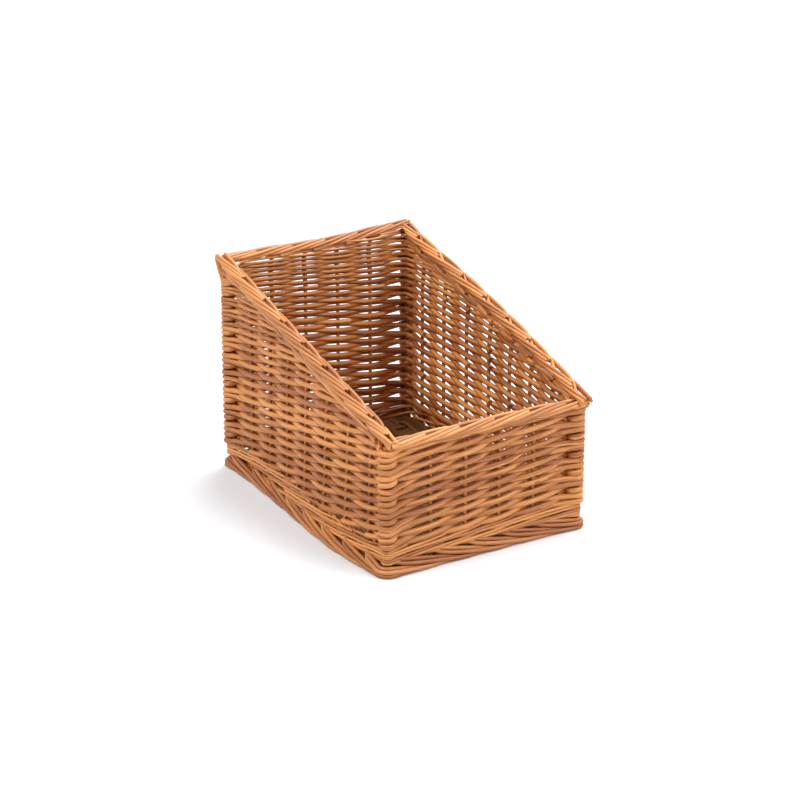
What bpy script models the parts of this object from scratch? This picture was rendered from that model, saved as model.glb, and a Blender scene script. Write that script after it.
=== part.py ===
"""Sloped display basket of buff willow, built up from its separate rods.

Every upright is one rod: it stands in the wall, bends over at the top and runs on
as one strand of the border, to a cut end. Between the uprights the walls are
randed: each weaver passes outside one upright and inside the next, and climbs as
it goes round. The walls stand on a foot border, and the floor is woven on sticks.
Metres, Z up, the origin on the ground under the middle of the basket. The low
front is at -Y.
"""
import math
from collections import namedtuple

import bpy
import bmesh
from mathutils import Vector

# Overall size, between the middles of the corner posts and up to the border's top
post_span_width = 0.255
post_span_depth = 0.376
front_rim_height = 0.167
back_rim_height = 0.280

# Rods
stake_radius = 0.0033
post_radius = 0.0045
weaver_thickness = 0.0046
seat_gap = 0.0003

# Places of the uprights, as shares of half a wall, left to right from outside
front_stake_shares = (-0.56, -0.184, 0.184, 0.56)
left_stake_shares = (-0.815, -0.558, -0.288, -0.02, 0.23, 0.48, 0.742)

# Foot border: a rail on the ground, and a bent rod from each upright down to it
foot_rail_radius = 0.0042
foot_rail_outset = 0.0070
foot_flat_depth = 0.0008
foot_bend_radius = 0.0034
foot_bend_run = 0.026
stake_foot = 0.0125

# Along the bend from upright to rail: shares of its run, of the outset, of its drop
foot_bend_shares = (
    (0.0, 0.0, 0.0),
    (0.0, 0.0, 0.35),
    (0.38, 0.72, 0.82),
    (1.0, 1.0, 1.0),
)

# Waling above the foot, and the randed wall above the waling
foot_height = 0.0145
wale_height = 0.0207
wale_rows = 2
rand_pitch = 0.0129
bridge_half = 0.005
waist_share = 0.62
corner_waist_share = 0.80
least_row_share = 0.30
corner_joint_gap = 0.0026

# Border: three strands turn a third of the way round the wall's top edge
lane_count = 3
lane_start = math.radians(-15)
lane_step = math.radians(56)
lane_slack = 0.0008
ring_outset = 0.0008
bend_length = 0.014
bend_drop = 0.0068
cut_end_gap = 0.0020

# Floor
stick_radius = 0.0030
stick_level = 0.0185
floor_thickness = 0.0034
floor_bands = 12
floor_band_gap = 0.0012
floor_edge = 0.0060

# Overrun of the cutter that flattens the foot
cut_overrun = 0.010

# Roundness of the rods
rod_resolution = 1

# Sizes that follow
half_width = post_span_width / 2
half_depth = post_span_depth / 2
ring_radius = (2 * stake_radius + lane_slack) / (2 * math.sin(lane_step / 2))
border_reach = ring_outset + ring_radius + stake_radius
rim_depth = post_span_depth + 2 * border_reach
rim_slope = (back_rim_height - front_rim_height) / rim_depth
ring_drop = ring_radius + stake_radius
border_inset = ring_radius + stake_radius - ring_outset + seat_gap
wale_top = foot_height + wale_height
rand_low = wale_top + seat_gap
rand_top_drop = ring_drop + bend_drop
half_weaver = weaver_thickness / 2
diagonal_share = 0.78
diagonal_clearance_share = 0.9625
post_reach = (post_radius + seat_gap + half_weaver) / diagonal_clearance_share

Wall = namedtuple("Wall", "name half places first wraps run_sign run_start run_stop rim frame")


def clear_scene():
    for item in list(bpy.data.objects):
        bpy.data.objects.remove(item, do_unlink=True)


def new_collection(name):
    collection = bpy.data.collections.new(name)
    bpy.context.scene.collection.children.link(collection)
    return collection


def make_material(name, colour, roughness):
    material = bpy.data.materials.new(name)
    material.use_nodes = True
    shader = material.node_tree.nodes["Principled BSDF"]
    shader.inputs["Base Color"].default_value = (*colour, 1.0)
    shader.inputs["Roughness"].default_value = roughness
    shader.inputs["Metallic"].default_value = 0.0
    material.diffuse_color = (*colour, 1.0)
    return material


def add_object(name, data, collection, material, parent=None):
    item = bpy.data.objects.new(name, data)
    collection.objects.link(item)
    if material:
        data.materials.append(material)
    item.parent = parent
    return item


def rod_curve(name, points, radius, radii=None):
    """Curve data for a rod through the points, measured from the first of them."""
    curve = bpy.data.curves.new(name, "CURVE")
    curve.dimensions = "3D"
    curve.bevel_depth = radius
    curve.bevel_resolution = rod_resolution
    curve.use_fill_caps = True
    spline = curve.splines.new("POLY")
    spline.points.add(len(points) - 1)
    for index, point in enumerate(points):
        spline.points[index].co = (*(point - points[0]), 1.0)
        spline.points[index].radius = radii[index] if radii else 1.0
    return curve


def add_rod(name, points, radius, collection, material, parent=None, radii=None):
    curve = rod_curve(name, points, radius, radii)
    item = add_object(name, curve, collection, material, parent)
    item.location = points[0]
    return item


def rod_mesh(points, radius):
    """The rod as mesh data with its caps welded on, in the points' own frame."""
    curve = rod_curve("rod", points, radius)
    item = bpy.data.objects.new("rod", curve)
    bpy.context.scene.collection.objects.link(item)
    bpy.context.view_layer.update()
    evaluated = item.evaluated_get(bpy.context.evaluated_depsgraph_get())
    mesh = bpy.data.meshes.new_from_object(evaluated)
    bpy.data.objects.remove(item, do_unlink=True)
    bpy.data.curves.remove(curve)
    shape = bmesh.new()
    shape.from_mesh(mesh)
    bmesh.ops.remove_doubles(shape, verts=shape.verts, dist=seat_gap / 10)
    bmesh.ops.translate(shape, verts=shape.verts, vec=points[0])
    shape.to_mesh(mesh)
    shape.free()
    return mesh


def solidify(item, thickness):
    shell = item.modifiers.new("thickness", "SOLIDIFY")
    shell.thickness = thickness
    shell.offset = 0.0


def boolean(item, other, operation):
    step = item.modifiers.new(operation.lower(), "BOOLEAN")
    step.operation = operation
    step.solver = "EXACT"
    step.object = other


def as_cutter(item):
    item.hide_render = True
    item.display_type = "WIRE"


# The four walls

def side_rim(sign):
    """Height of a side wall's top edge along it, with the sign of its run in Y."""
    def rim(place):
        return front_rim_height + rim_slope * (sign * place + rim_depth / 2)
    return rim


def make_walls(collection):
    """Front, right, back and left wall, in the order in which the weavers climb.

    The border runs down both sides and from left to right along front and back. At a
    corner one wall's border reaches right over it, and the other's butts against that.
    """
    right_shares = tuple(-share for share in reversed(left_stake_shares))
    over, short = border_reach, -border_inset
    plans = (
        ("front", 0, (0, -half_depth), half_width, front_stake_shares, True, 1,
         short, short, lambda place: front_rim_height),
        ("right", 90, (half_width, 0), half_depth, right_shares, False, -1,
         short, over, side_rim(1)),
        ("back", 180, (0, half_depth), half_width, front_stake_shares, True, -1,
         short, over, lambda place: back_rim_height),
        ("left", 270, (-half_width, 0), half_depth, left_stake_shares, False, 1,
         over, over, side_rim(-1)),
    )
    walls = []
    first = 0
    for name, turn, centre, half, shares, wraps, run_sign, at_start, at_stop, rim in plans:
        frame = bpy.data.objects.new(name + "_wall_frame", None)
        collection.objects.link(frame)
        frame.location = (*centre, 0)
        frame.rotation_euler = (0, 0, math.radians(turn))
        places = (-half, *(share * half for share in shares), half)
        walls.append(Wall(name, half, places, first, wraps, run_sign,
                          -half - at_start, half + at_stop, rim, frame))
        first += len(places) - 1
    return walls


def wall_index(places, place):
    """Number of the upright at a place along a wall, with fractions in between."""
    last = len(places) - 2
    step = 0
    while step < last and place > places[step + 1]:
        step += 1
    return step + (place - places[step]) / (places[step + 1] - places[step])


def upright_run(wall, upright):
    """Distance from a stake to the nearer of the bridges beside it."""
    place = wall.places[upright]
    return min(place - bridge_places(wall, upright - 1)[1],
               bridge_places(wall, upright)[0] - place)


def place_at(places, index):
    step = min(max(int(math.floor(index)), 0), len(places) - 2)
    return places[step] + (index - step) * (places[step + 1] - places[step])


# Woven wall

def pass_reach(radius, half_thickness, run):
    """How far the middle of a sheet stands off the rod that it passes on its way."""
    reach = radius + seat_gap + half_thickness
    for _ in range(6):
        reach = (radius + seat_gap) * math.hypot(1, reach / run) + half_thickness
    return reach


def stake_reach(run):
    return pass_reach(stake_radius, half_weaver, run)


def end_reach(run):
    """The same for a row that ends at a corner post."""
    square_on = post_radius + seat_gap + half_weaver
    reach = square_on
    for _ in range(6):
        reach = square_on * math.hypot(1, reach / run)
    return reach


def widest_end_reach():
    """Reach at the corner where the first stake of a side stands nearest the post."""
    nearest = half_depth * (1 - max(abs(share) for share in left_stake_shares))
    return end_reach(nearest / 2 - bridge_half)


def bridge_places(wall, step):
    """The two sides of the band where the rows touch, midway between uprights."""
    middle = (wall.places[step] + wall.places[step + 1]) / 2
    return middle - bridge_half, middle + bridge_half


def corner_stations(wall, end, outer):
    """Plan points of a row at a corner post, from the wall's side outwards."""
    edge = end * wall.half
    step = 0 if end < 0 else len(wall.places) - 2
    run = wall.half - max(abs(place) for place in bridge_places(wall, step))
    if wall.wraps and outer:
        diagonal = diagonal_share * post_reach
        return (
            (edge, -post_reach),
            (edge + end * diagonal, -diagonal),
            (edge + end * post_reach, 0),
        )
    if wall.wraps:
        butt = widest_end_reach() + half_weaver + corner_joint_gap
        return ((edge - end * butt, end_reach(run) * (1 - butt / run)),)
    if outer:
        return ((edge - end * corner_joint_gap, -end_reach(run)),)
    return ((edge, end_reach(run)),)


def woven_sheet(wall, low, top, pitch, rise):
    """One sheet of weaver rows, slit beside every upright, as a bmesh.

    Row boundaries climb by the rise from one upright to the next. Rows share their
    edges on the bridges, and part to the outside and the inside at the uprights.
    """
    shape = bmesh.new()
    least = least_row_share * pitch
    corners = {}

    def line(row, index):
        return low + pitch * row + rise * (wall.first + index)

    def span(row, index, place):
        return (max(line(row, index), low), min(line(row + 1, index), top(place)))

    def tall(row, index, place):
        bottom, crown = span(row, index, place)
        return crown - bottom >= least

    def rows_on(step):
        sides = [(place, wall_index(wall.places, place)) for place in bridge_places(wall, step)]
        first_row = -int(math.ceil((rise / pitch) * (wall.first + step + 1))) - 1
        count = int((top(sides[0][0]) + top(sides[1][0]) - 2 * low) / pitch) + 3
        rows = range(first_row, first_row + count + len(wall.places))
        return [row for row in rows if all(tall(row, index, place) for place, index in sides)]

    def bridge_vertex(place, height):
        key = (round(place / seat_gap), round(height / (seat_gap / 10)))
        if key not in corners:
            corners[key] = shape.verts.new((place, 0, height))
        return corners[key]

    def bridge_station(row, rows, place):
        bottom, crown = span(row, wall_index(wall.places, place), place)
        bottom = low if row == rows[0] else bottom
        crown = top(place) if row == rows[-1] else crown
        return bridge_vertex(place, bottom), bridge_vertex(place, crown)

    def upright_station(row, upright, point, share):
        bottom, crown = span(row, upright, wall.places[upright])
        middle = (bottom + crown) / 2
        rise_half = share * (crown - bottom) / 2
        return tuple(shape.verts.new((*point, height))
                     for height in (middle - rise_half, middle + rise_half))

    def join(first_pair, second_pair):
        shape.faces.new((first_pair[0], second_pair[0], second_pair[1], first_pair[1]))

    def outside(row, upright):
        return (row + wall.first + upright) % 2 == 0

    present = [rows_on(step) for step in range(len(wall.places) - 1)]
    last = len(wall.places) - 1
    for step, rows in enumerate(present):
        left_side, right_side = bridge_places(wall, step)
        for row in rows:
            left_pair = bridge_station(row, rows, left_side)
            right_pair = bridge_station(row, rows, right_side)
            join(left_pair, right_pair)
            if step == 0 and tall(row, 0, wall.places[0]):
                chain = [upright_station(row, 0, point, corner_waist_share)
                         for point in corner_stations(wall, -1, outside(row, 0))]
                join(chain[0], left_pair)
                for inner_pair, outer_pair in zip(chain, chain[1:]):
                    join(outer_pair, inner_pair)
            if step == last - 1 and tall(row, last, wall.places[last]):
                chain = [upright_station(row, last, point, corner_waist_share)
                         for point in corner_stations(wall, 1, outside(row, last))]
                join(right_pair, chain[0])
                for inner_pair, outer_pair in zip(chain, chain[1:]):
                    join(inner_pair, outer_pair)
            if step < last - 1 and tall(row, step + 1, wall.places[step + 1]):
                upright = step + 1
                reach = stake_reach(upright_run(wall, upright))
                point = (wall.places[upright], -reach if outside(row, upright) else reach)
                middle_pair = upright_station(row, upright, point, waist_share)
                join(right_pair, middle_pair)
                if row in present[upright]:
                    next_left = bridge_places(wall, upright)[0]
                    join(middle_pair, bridge_station(row, present[upright], next_left))
            if step > 0 and row not in present[step - 1] and tall(row, step, wall.places[step]):
                reach = stake_reach(left_side - wall.places[step])
                point = (wall.places[step], -reach if outside(row, step) else reach)
                join(upright_station(row, step, point, waist_share), left_pair)
    return shape


def woven_panel(wall, name, low, top, pitch, rise, collection, material):
    shape = woven_sheet(wall, low, top, pitch, rise)
    mesh = bpy.data.meshes.new(name)
    shape.to_mesh(mesh)
    shape.free()
    item = add_object(name, mesh, collection, material, wall.frame)
    solidify(item, weaver_thickness)
    return item


def make_waling(wall, collection, material):
    pitch = wale_height / wale_rows
    woven_panel(wall, wall.name + "_waling", foot_height, lambda place: wale_top,
                pitch, 0, collection, material)


def make_randing(wall, collection, material):
    woven_panel(wall, wall.name + "_randing", rand_low,
                lambda place: wall.rim(place) - rand_top_drop,
                rand_pitch, rand_pitch, collection, material)


# Uprights and border

def run_places(wall):
    """Upright places measured along the border's own run on this wall."""
    return tuple(sorted(wall.run_sign * place for place in wall.places))


def ring_height(wall, run_place):
    return wall.rim(wall.run_sign * run_place) - ring_drop


def lane_point(wall, run_place, turns):
    """Point of a border strand that has come the given number of stakes along."""
    angle = lane_start + lane_step * turns
    outset = ring_outset + ring_radius * math.cos(angle)
    height = ring_height(wall, run_place) + ring_radius * math.sin(angle)
    return Vector((wall.run_sign * run_place, -outset, height))


def strand_points(wall, number, run_start):
    """Points along a border strand, at its ends and every half stake between."""
    places = run_places(wall)
    begin = wall_index(places, run_start)
    finish = min(wall_index(places, wall.run_stop), number + lane_count)
    ticks = [begin]
    tick = math.floor(2 * begin) / 2 + 0.5
    while tick < finish:
        ticks.append(tick)
        tick += 0.5
    ticks.append(finish)
    points = []
    for index in ticks:
        place = place_at(places, index)
        if index == finish and finish == number + lane_count:
            place -= cut_end_gap
        points.append(lane_point(wall, place, index - number))
    return points


def bent_upright(wall, number):
    """Points of an upright from its foot, over the bend and along the border."""
    place = run_places(wall)[number]
    top = ring_height(wall, place)
    first_turn = wall_index(run_places(wall), place + bend_length) - number
    lane_in = lane_point(wall, place + bend_length, first_turn)
    side = wall.run_sign
    bend_middle = Vector((side * (place + bend_length / 3), lane_in.y / 3,
                          top - bend_drop / 2))
    return [
        Vector((side * place, 0, stake_foot)),
        Vector((side * place, 0, top - bend_drop)),
        bend_middle,
        *strand_points(wall, number, place + bend_length),
    ]


def make_stakes(wall, collection, material):
    count = len(wall.places) - 2
    for number in range(1, count + 1):
        points = bent_upright(wall, number)
        label = number if wall.run_sign > 0 else count + 1 - number
        add_rod(f"{wall.name}_stake_{label}", points, stake_radius, collection,
                material, wall.frame)


def starts_over_corner(wall):
    return wall.run_start < -wall.half


def make_corner_posts(walls, collection, material):
    """A post at the start of each wall. One bends into the border, the others stop."""
    thick = post_radius / stake_radius
    for wall, corner in zip(walls, ("front_left", "front_right", "back_right", "back_left")):
        if starts_over_corner(wall):
            points = bent_upright(wall, 0)
            radii = [thick, thick] + [1.0] * (len(points) - 2)
            add_rod(corner + "_post", points, stake_radius, collection, material,
                    wall.frame, radii)
        else:
            height = ring_height(wall, -wall.run_sign * wall.half) - bend_drop
            points = [Vector((-wall.half, 0, level)) for level in (stake_foot, height)]
            add_rod(corner + "_post", points, post_radius, collection, material,
                    wall.frame)


def make_border_fillers(wall, collection, material):
    """Rods laid in at the start of a wall's border, where no stake has come yet."""
    first = -1 if starts_over_corner(wall) else 0
    for order, number in enumerate(range(first, -lane_count, -1), start=1):
        points = strand_points(wall, number, wall.run_start)
        add_rod(f"{wall.name}_border_rod_{order}", points, stake_radius, collection,
                material, wall.frame)


# Foot border

def foot_rail_points(wall):
    level = foot_rail_radius - foot_flat_depth
    if not wall.wraps:
        end = wall.half - corner_joint_gap
        plan = ((-end, -foot_rail_outset), (end, -foot_rail_outset))
    else:
        diagonal = diagonal_share * foot_rail_outset
        plan = (
            (-wall.half - foot_rail_outset, 0),
            (-wall.half - diagonal, -diagonal),
            (-wall.half, -foot_rail_outset),
            (wall.half, -foot_rail_outset),
            (wall.half + diagonal, -diagonal),
            (wall.half + foot_rail_outset, 0),
        )
    return [Vector((*point, level)) for point in plan]


def foot_bends(wall):
    """The bent rods of a wall's foot as one mesh of separate bodies."""
    shape = bmesh.new()
    top = stake_foot - seat_gap
    drop = top - foot_rail_radius
    for place in wall.places[:-1]:
        points = [
            Vector((place + run * foot_bend_run, -out * foot_rail_outset, top - down * drop))
            for run, out, down in foot_bend_shares
        ]
        mesh = rod_mesh(points, foot_bend_radius)
        shape.from_mesh(mesh)
        bpy.data.meshes.remove(mesh)
    mesh = bpy.data.meshes.new(wall.name + "_foot_bends")
    shape.to_mesh(mesh)
    shape.free()
    return mesh


def make_foot(wall, collection, cutters, material):
    rail = rod_mesh(foot_rail_points(wall), foot_rail_radius)
    item = add_object(wall.name + "_foot_border", rail, collection, material, wall.frame)
    bends = add_object(wall.name + "_foot_bends", foot_bends(wall), cutters, None, wall.frame)
    as_cutter(bends)
    boolean(item, bends, "UNION")
    boolean(item, cutters.objects["ground_cutter"], "DIFFERENCE")


def make_ground_cutter(cutters):
    """A slab below the ground plane that cuts the foot flat where it stands."""
    shape = bmesh.new()
    bmesh.ops.create_cube(shape, size=1)
    size = Vector((post_span_width, post_span_depth, 0)) + 2 * Vector((1, 1, 1)) * cut_overrun
    size += 2 * Vector((foot_rail_outset, foot_rail_outset, 0))
    bmesh.ops.scale(shape, vec=size, verts=shape.verts)
    bmesh.ops.translate(shape, vec=(0, 0, -size.z / 2), verts=shape.verts)
    mesh = bpy.data.meshes.new("ground_cutter")
    shape.to_mesh(mesh)
    shape.free()
    as_cutter(add_object("ground_cutter", mesh, cutters, None))


# Floor

def floor_half(wall_half):
    return wall_half - widest_end_reach() - half_weaver - seat_gap


def make_floor_sticks(side_wall, collection, material):
    """A stick from side to side at each pair of side stakes, up to the waling."""
    for number in range(1, len(side_wall.places) - 1):
        reach = stake_reach(upright_run(side_wall, number)) + half_weaver
        end = half_width - reach - seat_gap
        points = [Vector((side * end, -side_wall.places[number], stick_level))
                  for side in (-1, 1)]
        add_rod(f"floor_stick_{number}", points, stick_radius, collection, material)


def make_floor_weave(side_wall, collection, material):
    """Bands of rods laid side by side that pass over one stick and under the next.

    The bands are joined at their front and back ends and part in between.
    """
    end = floor_half(half_depth)
    sticks = sorted(-place for place in side_wall.places[1:-1])
    pitch = 2 * floor_half(half_width) / floor_bands
    run = min(end - floor_edge - sticks[-1], end - floor_edge + sticks[0],
              *((high - low) / 2 for low, high in zip(sticks, sticks[1:])))
    reach = pass_reach(stick_radius, floor_thickness / 2, run)
    shape = bmesh.new()

    def joined_line(place):
        return [shape.verts.new((pitch * (column - floor_bands / 2), place, stick_level))
                for column in range(floor_bands + 1)]

    def stick_station(band, number):
        middle = pitch * (band + 0.5 - floor_bands / 2)
        half_band = (pitch - floor_band_gap) / 2
        level = stick_level + (reach if (band + number) % 2 else -reach)
        return [shape.verts.new((middle + side * half_band, sticks[number], level))
                for side in (-1, 1)]

    lines = [joined_line(place) for place in (-end, floor_edge - end, end - floor_edge, end)]
    for band in range(floor_bands):
        at_ends = [line[band:band + 2] for line in lines]
        over_sticks = [stick_station(band, number) for number in range(len(sticks))]
        stations = [*at_ends[:2], *over_sticks, *at_ends[2:]]
        for (left, right), (next_left, next_right) in zip(stations, stations[1:]):
            shape.faces.new((left, right, next_right, next_left))
    mesh = bpy.data.meshes.new("floor_weave")
    shape.to_mesh(mesh)
    shape.free()
    item = add_object("floor_weave", mesh, collection, material)
    solidify(item, floor_thickness)


def main():
    clear_scene()
    basket = new_collection("sloped_display_basket")
    cutters = new_collection("cutters")
    stake_willow = make_material("stake_willow", (0.62, 0.34, 0.15), 0.45)
    weaver_willow = make_material("weaver_willow", (0.56, 0.27, 0.10), 0.5)
    wale_willow = make_material("wale_willow", (0.66, 0.38, 0.17), 0.5)
    foot_willow = make_material("foot_willow", (0.52, 0.25, 0.10), 0.45)
    floor_willow = make_material("floor_willow", (0.30, 0.14, 0.06), 0.55)
    walls = make_walls(basket)
    make_ground_cutter(cutters)
    for wall in walls:
        make_foot(wall, basket, cutters, foot_willow)
        make_waling(wall, basket, wale_willow)
        make_randing(wall, basket, weaver_willow)
        make_stakes(wall, basket, stake_willow)
        make_border_fillers(wall, basket, stake_willow)
    make_corner_posts(walls, basket, stake_willow)
    make_floor_sticks(walls[-1], basket, floor_willow)
    make_floor_weave(walls[-1], basket, floor_willow)


main()
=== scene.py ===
"""Sloped willow display basket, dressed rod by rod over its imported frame.

Every rod is laid as a path round the uprights, and one node tree sweeps the paths to
rods with a tone and a grain of their own. Metres, Z up, the low front at -Y.
"""
import math
import random
from collections import namedtuple

import bpy
from bpy.props import FloatProperty, FloatVectorProperty, IntProperty, PointerProperty
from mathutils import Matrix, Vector


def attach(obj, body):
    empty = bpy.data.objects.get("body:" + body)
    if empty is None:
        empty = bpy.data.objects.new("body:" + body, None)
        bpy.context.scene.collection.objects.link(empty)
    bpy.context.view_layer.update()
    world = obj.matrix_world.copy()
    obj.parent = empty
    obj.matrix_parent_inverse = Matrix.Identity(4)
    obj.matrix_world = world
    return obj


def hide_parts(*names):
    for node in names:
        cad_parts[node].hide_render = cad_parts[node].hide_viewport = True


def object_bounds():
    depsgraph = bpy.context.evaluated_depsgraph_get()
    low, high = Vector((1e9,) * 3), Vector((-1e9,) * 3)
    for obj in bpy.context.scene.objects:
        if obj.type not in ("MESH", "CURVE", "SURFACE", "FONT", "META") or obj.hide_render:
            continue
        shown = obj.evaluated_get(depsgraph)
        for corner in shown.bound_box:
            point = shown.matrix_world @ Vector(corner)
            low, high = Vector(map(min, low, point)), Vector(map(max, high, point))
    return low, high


bl_info = {
    "name": "Willow display basket",
    "version": (1, 0, 0),
    "blender": (4, 5, 0),
    "location": "3D View > Sidebar > Basket",
    "description": "Weaves a sloped display basket from willow rods",
    "category": "Add Mesh",
}

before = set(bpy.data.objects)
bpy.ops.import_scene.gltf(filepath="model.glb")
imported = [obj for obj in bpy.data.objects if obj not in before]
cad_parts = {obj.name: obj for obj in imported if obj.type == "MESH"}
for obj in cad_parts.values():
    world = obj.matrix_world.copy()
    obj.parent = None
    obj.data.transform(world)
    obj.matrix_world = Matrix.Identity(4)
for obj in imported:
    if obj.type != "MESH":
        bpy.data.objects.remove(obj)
cad_low, cad_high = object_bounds()

# Places of the uprights, as shares of half a wall, in the order the weavers pass them
FRONT_SHARES = (-0.56, -0.184, 0.184, 0.56)
SIDE_SHARES = (-0.742, -0.48, -0.23, 0.02, 0.288, 0.558, 0.815)

# Numbers of the corner posts along the ring of uprights, and of the first one met again
FRONT_LEFT = 0
FRONT_RIGHT = FRONT_LEFT + len(FRONT_SHARES) + 1
BACK_RIGHT = FRONT_RIGHT + len(SIDE_SHARES) + 1
BACK_LEFT = BACK_RIGHT + len(FRONT_SHARES) + 1
FULL_TURN = BACK_LEFT + len(SIDE_SHARES) + 1
# Keeps a place on its own side of a corner
HAIR = 0.001

# An upright, with the outward ways of the wall that leads up to it and of the one after it
Upright = namedtuple("Upright", "place out_in out_on corner")


# Settings

def metres(name, description, default):
    """A size that the sidebar shows as a length."""
    return FloatProperty(name=name, description=description, default=default, unit="LENGTH")


class BasketSizes(bpy.types.PropertyGroup):
    """Sizes of the basket and its rods."""

    post_span_width: metres("Post span across", "Between the corner posts, side to side", 0.255)
    post_span_depth: metres("Post span in depth", "Between the corner posts, front to back", 0.376)
    front_rim: metres("Front rim", "Height of the low front's border", 0.167)
    back_rim: metres("Back rim", "Height of the high back's border", cad_high[2])
    side_rim_front: metres(
        "Side rim", "Height of the side borders where they lap the front", 0.1745)
    left_bow: metres("Left bow", "How far the left side's foot bellies out", 0.011)
    right_bow: metres("Right bow", "How far the right side bellies out", 0.007)
    stake_radius: metres("Stake radius", "Half the thickness of the uprights", 0.0025)
    post_radius: metres("Post radius", "Half the thickness of the corner posts", 0.0045)
    corner_outset: metres(
        "Corner outset", "How far the posts stand outside both stake lines", 0.0026)
    weaver_radius: metres("Weaver radius", "Half the thickness of the wall's weavers", 0.0032)
    press: FloatProperty(
        name="Press", description="Share of its stand-off that a weaver keeps at an upright",
        default=0.66, min=0.4, max=1.0)
    wale_radius: metres("Wale radius", "Half the thickness of the waling rods", 0.0018)
    border_radius: metres("Border radius", "Half the thickness of the border rods", 0.0022)
    border_spread: metres(
        "Border spread", "How far to each side of its middle a border's rods lie", 0.0070)
    border_height: metres("Border height", "How far above and below its middle they lie", 0.0054)
    foot_radius: metres("Foot radius", "Half the thickness of the foot's rods", 0.0026)
    foot_outset: metres(
        "Foot outset", "How far the foot border stands outside the uprights", 0.0128)
    floor_rod_radius: metres(
        "Floor rod radius", "Half the thickness of the floor's weavers", 0.0022)
    stick_radius: metres("Stick radius", "Half the thickness of the floor's sticks", 0.0026)
    row_rise: metres("Row rise", "How far a weaver climbs from one upright to the next", 0.00575)
    seed: IntProperty(
        name="Seed", description="Picks the small unevenness of the rods", default=7)


class BasketColours(bpy.types.PropertyGroup):
    """Colours of the willow and of the stage."""

    willow_pale: FloatVectorProperty(
        name="Pale willow", description="Lightest rods", subtype="COLOR",
        default=(0.80, 0.345, 0.098), min=0, max=1)
    willow_deep: FloatVectorProperty(
        name="Deep willow", description="Darkest rods", subtype="COLOR",
        default=(0.31, 0.088, 0.019), min=0, max=1)
    knot: FloatVectorProperty(
        name="Knot", description="Bud scars and stains", subtype="COLOR",
        default=(0.12, 0.035, 0.012), min=0, max=1)
    stage: FloatVectorProperty(
        name="Stage", description="The floor under the basket", subtype="COLOR",
        default=(0.75, 0.78, 0.81), min=0, max=1)


# Nodes

def new_tree(name, kind, inputs, outputs):
    """A node tree with its named sockets, and what its input and output nodes hold."""
    tree = bpy.data.node_groups.new(name, kind)
    for direction, sockets in (("INPUT", inputs), ("OUTPUT", outputs)):
        for label, content in sockets.items():
            tree.interface.new_socket(label, in_out=direction,
                                      socket_type="NodeSocket" + content)
    given = tree.nodes.new("NodeGroupInput").outputs
    result = tree.nodes.new("NodeGroupOutput").inputs
    return tree, given, result


def fill_inputs(tree, node, values):
    """Puts a value, or a link from another node's output, in each of the inputs named."""
    for socket, value in values.items():
        if isinstance(value, bpy.types.NodeSocket):
            tree.links.new(value, node.inputs[socket])
        else:
            node.inputs[socket].default_value = value


def add_node(tree, kind, values=None, **settings):
    """The outputs of a new node that has these settings, and these values in its inputs."""
    node = tree.nodes.new(kind)
    for name, setting in settings.items():
        setattr(node, name, setting)
    fill_inputs(tree, node, values or {})
    return node.outputs


def math_node(tree, operation, first, second, clamp=False):
    values = {0: first, 1: second}
    return add_node(tree, "ShaderNodeMath", values, operation=operation, use_clamp=clamp)[0]


def weighted_sum(tree, total, *parts):
    """The total with each (value, weight) added to it."""
    for value, weight in parts:
        total = math_node(tree, "ADD", total, math_node(tree, "MULTIPLY", value, weight))
    return total


def vector_node(tree, operation, values):
    return add_node(tree, "ShaderNodeVectorMath", values, operation=operation)[0]


# Materials

# How often each mark comes round a rod (X, Y) and in a metre of it (Z)
BLOTCH_GRAIN = (1.2, 1.2, 22.0)
STREAK_GRAIN = (5.0, 5.0, 14.0)
FIBRE_GRAIN = (16.0, 16.0, 60.0)
SCAR_GRAIN = (2.2, 2.2, 120.0)

# Shares of a rod's own tone and marks in its colour, and the sum at which it is deepest
TONE_SHARE = 0.85
BLOTCH_SHARE = 0.5
STREAK_SHARE = 0.36
DEEPEST = 0.4


def rgba(colour, shade=1.0):
    return (*(shade * part for part in colour), 1.0)


def marks(tree, grain, scale, detail):
    """Noise over a rod's own grain coordinates."""
    place = vector_node(tree, "MULTIPLY", {0: grain, 1: scale})
    values = {"Vector": place, "Scale": 1.0, "Detail": detail}
    return add_node(tree, "ShaderNodeTexNoise", values)["Fac"]


def stain(tree, colour, tint, mark, low, high, strength):
    """The colour with a tint laid over it where a mark lies between low and high or above."""
    values = {"Value": mark, "From Min": low, "From Max": high}
    cover = add_node(tree, "ShaderNodeMapRange", values)["Result"]
    cover = math_node(tree, "MULTIPLY", cover, strength)
    return mix_colour(tree, cover, colour, tint)


def mix_colour(tree, factor, first, second):
    """Two colours mixed: a Mix node's colour sockets have numbers of their own."""
    values = {0: factor, 6: first, 7: second}
    return add_node(tree, "ShaderNodeMix", values, data_type="RGBA")[2]


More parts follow.
